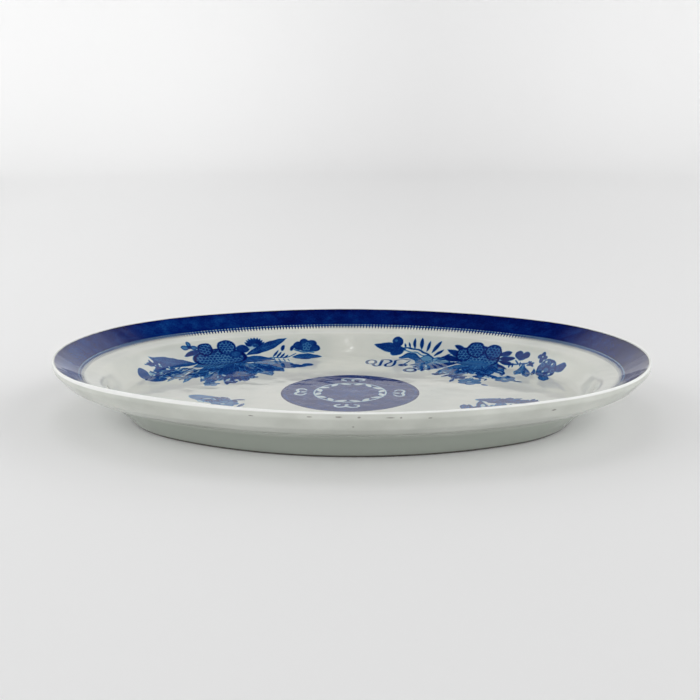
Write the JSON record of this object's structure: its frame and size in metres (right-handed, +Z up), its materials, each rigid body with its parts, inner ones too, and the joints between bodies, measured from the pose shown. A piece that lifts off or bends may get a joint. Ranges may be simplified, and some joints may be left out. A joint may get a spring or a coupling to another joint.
{
  "type": "oval serving platter",
  "caption": "Oval porcelain serving platter with a sloping blue-painted flange, a shallow flat well with a round medallion and flower sprays, and a low foot ring.",
  "frame": {"origin": "centre of the oval, on the surface that the foot ring stands on", "axes": "+X along the long side of the oval, +Y across it towards the back, +Z up out of the well"},
  "size_m": [0.46, 0.3414, 0.0464],
  "materials": {
    "porcelain": "matt, unglazed",
    "foot_porcelain": "matt, unglazed, browned in the kiln",
    "back_glaze": "gloss",
    "clear_glaze": "gloss",
    "border_cobalt": "gloss, mottled",
    "line_cobalt": "gloss",
    "medallion_cobalt": "gloss",
    "reserve_glaze": "gloss",
    "spray_cobalt": "gloss, shaded washes"
  },
  "bodies": {
    "root": {"porcelain_body": "porcelain", "foot_ring": "foot_porcelain", "back_glaze": "back_glaze", "border_band": "border_cobalt", "border_gap_glaze": "clear_glaze", "border_line": "line_cobalt", "spearhead_gap_glaze": "clear_glaze", "spearhead_row": "line_cobalt", "well_glaze": "clear_glaze", "medallion_ground": "medallion_cobalt", "medallion_reserve_ring": "reserve_glaze", "medallion_reserve_scrolls": "reserve_glaze", "spray_back_left": "spray_cobalt", "spray_back_right": "spray_cobalt", "spray_front_right": "spray_cobalt", "spray_front_left": "spray_cobalt"}
  },
  "joints": []
}
